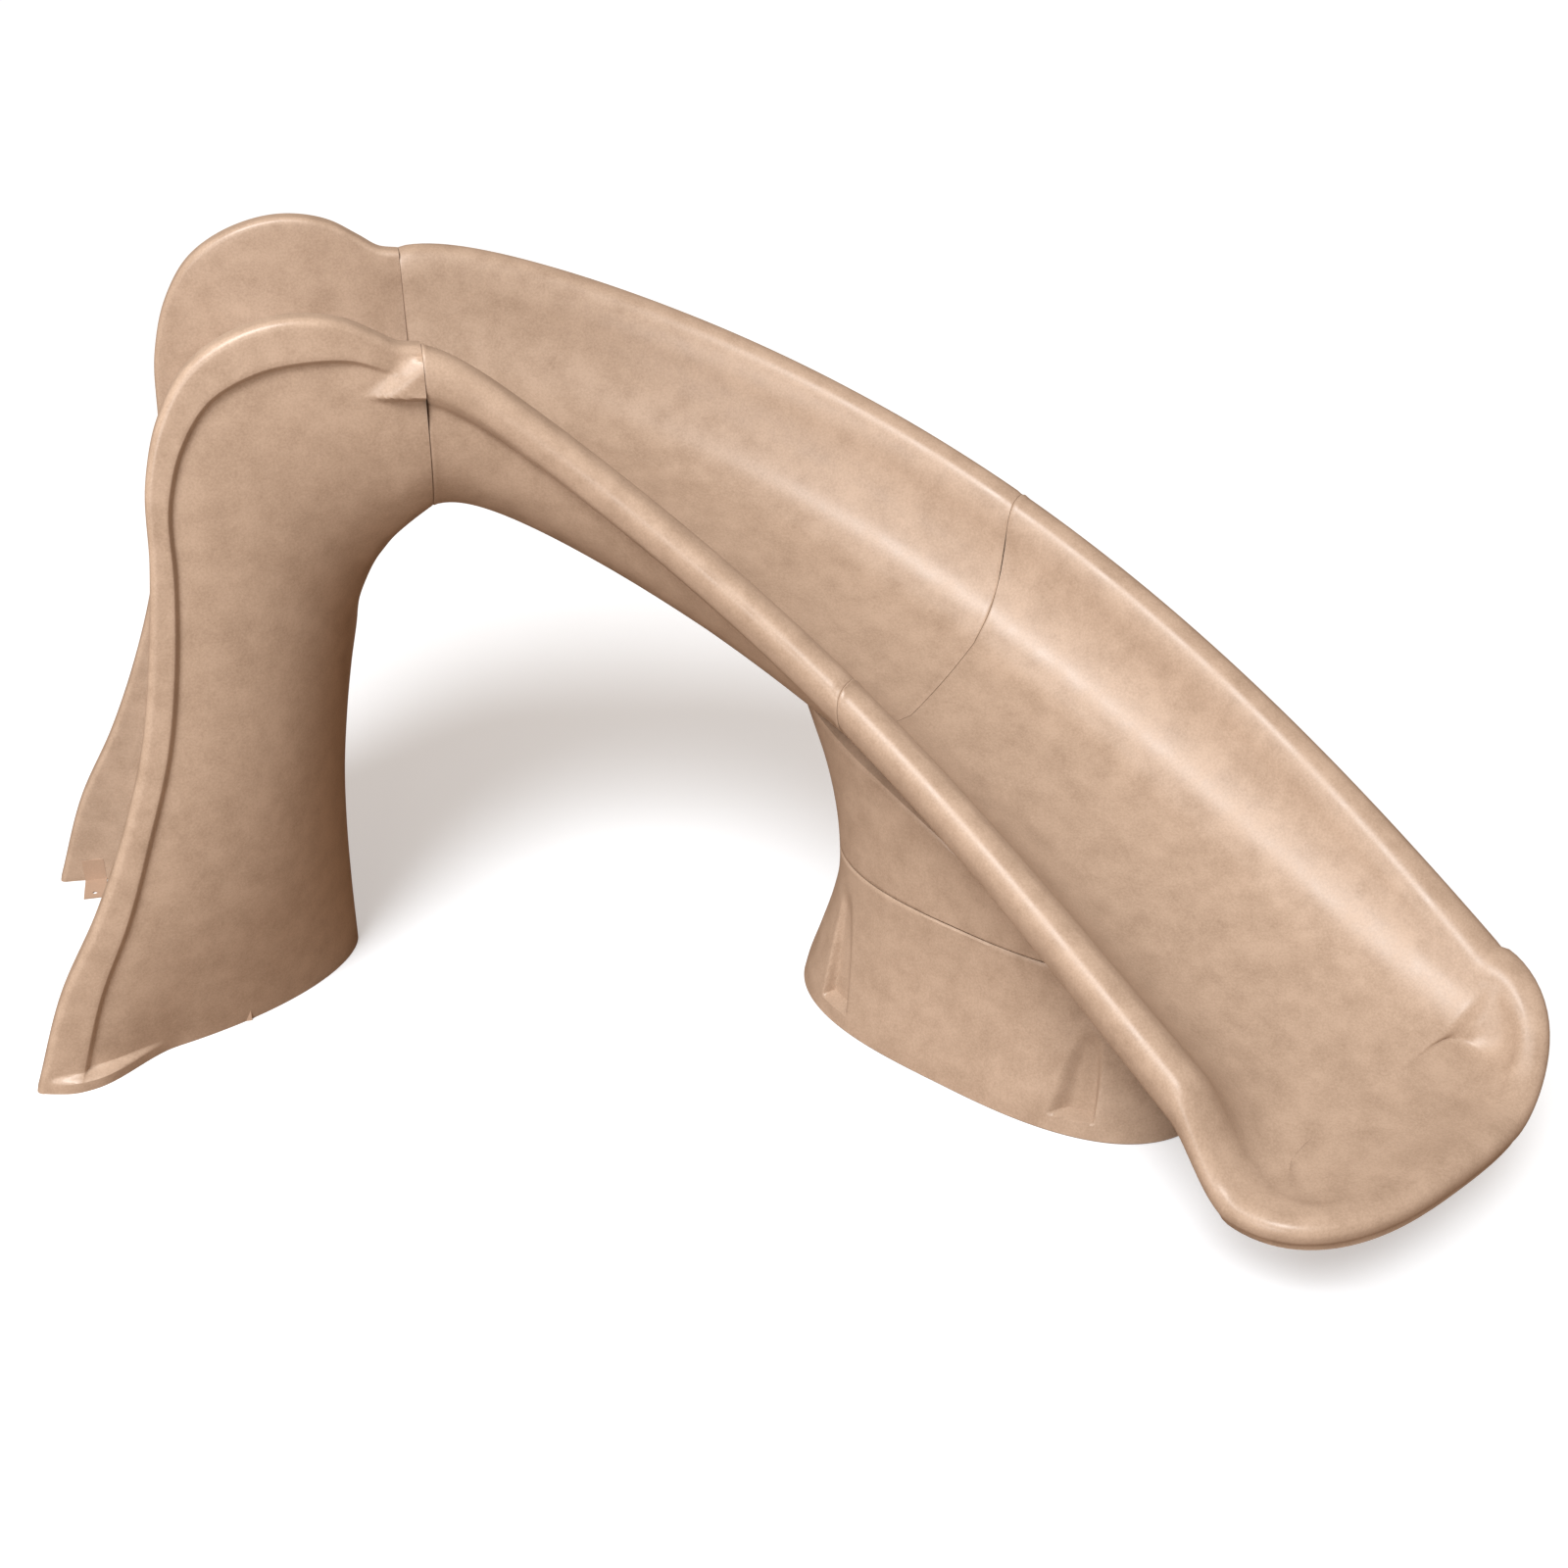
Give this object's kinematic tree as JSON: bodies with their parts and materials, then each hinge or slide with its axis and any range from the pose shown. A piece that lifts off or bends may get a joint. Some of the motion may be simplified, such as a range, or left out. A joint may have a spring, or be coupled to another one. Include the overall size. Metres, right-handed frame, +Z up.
{
  "type": "pool slide",
  "caption": "Curved residential pool slide: splayed hollow ladder with treads, right-turning two-piece flume with rolled rims and a rounded exit lip, oval front leg, hidden water feed.",
  "frame": {"origin": "on the deck, midway between the two rear anchor holes of the ladder", "axes": "+Z up from the deck; +X the way a rider climbs, across the pool edge; +Y to the rider's left, so the flume turns towards -Y"},
  "size_m": [3.479, 2.5352, 1.905],
  "materials": {
    "sandstone_shell": "satin, mottled sandstone",
    "tread_plastic": "moulded grip texture",
    "stainless_steel": "brushed",
    "coated_steel": "powder coated in the slide's colour",
    "seal_foam": "matt",
    "valve_brass": "satin",
    "hose_rubber": "matt",
    "lever_grip": "dipped vinyl",
    "valve_ball_chrome": "polished",
    "trim_plastic": "satin"
  },
  "bodies": {
    "root": {"ladder_side_right": "sandstone_shell", "ladder_side_left": "sandstone_shell", "seat_deck": "tread_plastic", "upper_flume": "sandstone_shell", "lower_flume": "sandstone_shell", "leg_foot": "sandstone_shell", "leg_tower": "sandstone_shell", "seam_seal_upper": "seal_foam", "seam_seal_lower": "seal_foam", "seam_bolts_upper": "stainless_steel", "seam_washers_upper": "stainless_steel", "seam_nuts_upper": "stainless_steel", "seam_bolts_lower": "stainless_steel", "seam_washers_lower": "stainless_steel", "seam_nuts_lower": "stainless_steel", "tread_brackets": "coated_steel", "tread_screws": "stainless_steel", "drain_plugs": "trim_plastic", "valve_body": "valve_brass", "riser_hose": "hose_rubber", "hose_clamps": "stainless_steel", "spray_nozzle": "trim_plastic", "nozzle_nut": "trim_plastic", "tread_1": "tread_plastic", "tread_2": "tread_plastic", "tread_3": "tread_plastic", "tread_4": "tread_plastic", "tread_5": "tread_plastic", "anchor_bracket_rear_right": "coated_steel", "anchor_bracket_rear_left": "coated_steel", "anchor_bracket_front_right": "coated_steel", "anchor_bracket_front_left": "coated_steel"},
    "lever": {"valve_lever": "lever_grip", "valve_ball": "valve_ball_chrome"},
    "inlet_nut": {"hose_swivel_nut": "valve_brass"}
  },
  "joints": [
    {"name": "valve_turn", "type": "hinge", "parent": "root", "child": "lever", "pos_m": [0.06, -0.09, 0.062], "axis": [0, 0, 1], "range_deg": [0, 90]},
    {"name": "inlet_swivel", "type": "hinge", "parent": "root", "child": "inlet_nut", "pos_m": [0.01, -0.09, 0.062], "axis": [1, 0, 0], "continuous": true}
  ]
}
